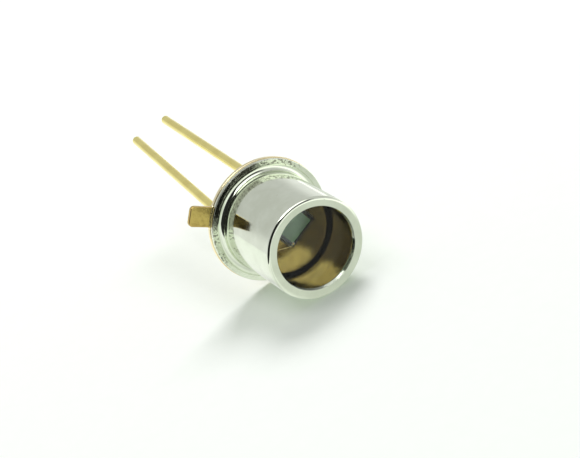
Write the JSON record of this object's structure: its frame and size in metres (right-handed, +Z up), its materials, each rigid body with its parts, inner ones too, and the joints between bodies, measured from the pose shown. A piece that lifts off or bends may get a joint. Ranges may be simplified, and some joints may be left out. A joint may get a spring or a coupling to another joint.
{
  "type": "photodiode",
  "caption": "Metal-can photodiode with a flat glass window, a gold-plated header with an orientation tab, and long wire leads. It turns light on the chip behind the window into current.",
  "frame": {"origin": "centre of the lead circle in the seating plane of the header, on the optical axis", "axes": "+Z up as the part lies on its side, +X along the part towards the window, level with the floor. The optical axis lies in the XZ plane and points 7.32 degrees below +X, because the part lies on its flange rim and its front rim"},
  "size_m": [0.0194, 0.0064, 0.0058],
  "materials": {
    "nickel_plate": "satin nickel plate over an iron-nickel-cobalt alloy sheet",
    "gold_plate": "bright gold plate over an iron-nickel-cobalt alloy sheet",
    "lead_gold_plate": "bright gold plate over an iron-nickel-cobalt alloy wire",
    "sealing_glass": "grey translucent sealing glass",
    "window_glass": "clear polished glass",
    "silicon": "polished silicon with a thin grey-green coating",
    "die_attach": "dark conductive adhesive",
    "bond_gold": "fine gold wire"
  },
  "bodies": {
    "root": {"header_eyelet": "gold_plate", "header_glass": "sealing_glass", "anode_lead": "lead_gold_plate", "cathode_lead": "lead_gold_plate", "die_attach": "die_attach", "photodiode_chip": "silicon", "bond_wire": "bond_gold", "cap": "nickel_plate", "window_glass": "window_glass"}
  },
  "joints": []
}
